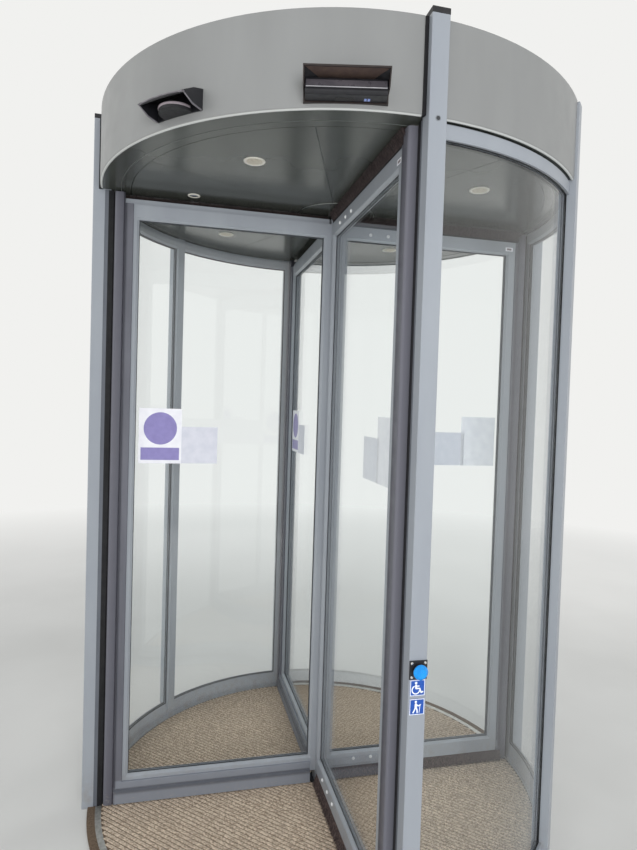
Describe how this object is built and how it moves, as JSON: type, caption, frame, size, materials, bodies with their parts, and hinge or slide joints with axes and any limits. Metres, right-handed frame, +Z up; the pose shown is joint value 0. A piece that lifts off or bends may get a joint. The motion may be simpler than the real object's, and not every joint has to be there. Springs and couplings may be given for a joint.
{
  "type": "revolving door",
  "caption": "Automatic revolving door: curved glass drum with canopy, glazed wings on a centre column, sensors and a slow-running push button.",
  "frame": {"origin": "on the floor at the axis of the drum", "axes": "+Z up along the axis of the drum; -Y points from the axis to the street, so the front looks along -Y; +X is on the right of a viewer who stands in front"},
  "size_m": [1.8, 1.8568, 2.568],
  "materials": {
    "bare_aluminium": "mill finish",
    "black_plastic": "black plastic",
    "black_rubber": "black rubber",
    "blue_plastic": "bright blue moulded plastic",
    "blue_sign": "blue sign plate",
    "brush_fibre": "dark brown brush fibre",
    "ceiling_paint": "matt dark grey coating",
    "clear_glass": "clear safety glass",
    "entrance_mat": "brown ribbed entrance matting",
    "grey_coating": "satin light grey powder coating",
    "grey_steel": "plain grey steel",
    "lamp_trim": "white lamp trim",
    "seal_rubber": "dark purple-grey rubber"
  },
  "bodies": {
    "drum": {"bar_sensor": "black_plastic", "bottom_rails": "grey_coating", "button_plate": "black_plastic", "canopy_beams": "grey_steel", "canopy_roof": "grey_steel", "ceiling_detectors": "lamp_trim", "ceiling_panels": "ceiling_paint", "centre_cover": "ceiling_paint", "corner_posts": "grey_coating", "downlights": "lamp_trim", "drive_unit": "grey_steel", "floor_bearing": "bare_aluminium", "floor_mat": "entrance_mat", "middle_posts": "grey_coating", "passage_fascias": "grey_coating", "pictogram_plates": "blue_sign", "post_caps": "black_plastic", "post_seals": "black_rubber", "radar_head": "black_plastic", "radar_hood": "black_plastic", "rain_hood": "black_plastic", "side_fascias": "grey_coating", "soffit_ring": "ceiling_paint", "threshold_rings": "bare_aluminium", "top_rails": "grey_coating", "wall_glass": "clear_glass"},
    "rotor": {"wing_1_brushes": "brush_fibre", "wing_1_edge_seal": "seal_rubber", "wing_1_rails": "grey_coating", "wing_1_stiles": "grey_coating", "wing_2_brushes": "brush_fibre", "wing_2_edge_seal": "seal_rubber", "wing_2_rails": "grey_coating", "wing_2_stiles": "grey_coating", "wing_3_brushes": "brush_fibre", "wing_3_edge_seal": "seal_rubber", "wing_3_rails": "grey_coating", "wing_3_stiles": "grey_coating", "wing_4_brushes": "brush_fibre", "wing_4_edge_seal": "seal_rubber", "wing_4_rails": "grey_coating", "wing_4_stiles": "grey_coating", "wing_glass": "clear_glass", "centre_column": "grey_coating"},
    "button": {"push_button": "blue_plastic"}
  },
  "joints": [
    {"name": "rotor_spin", "type": "hinge", "parent": "drum", "child": "rotor", "pos_m": [0, 0, 0], "axis": [0, 0, 1], "continuous": true},
    {"name": "button_press", "type": "slide", "parent": "drum", "child": "button", "axis": [-0.6978, 0.7163, 0], "range_m": [0, 0.004], "stiffness_N_per_m": 1500, "springref_m": -0.001}
  ]
}
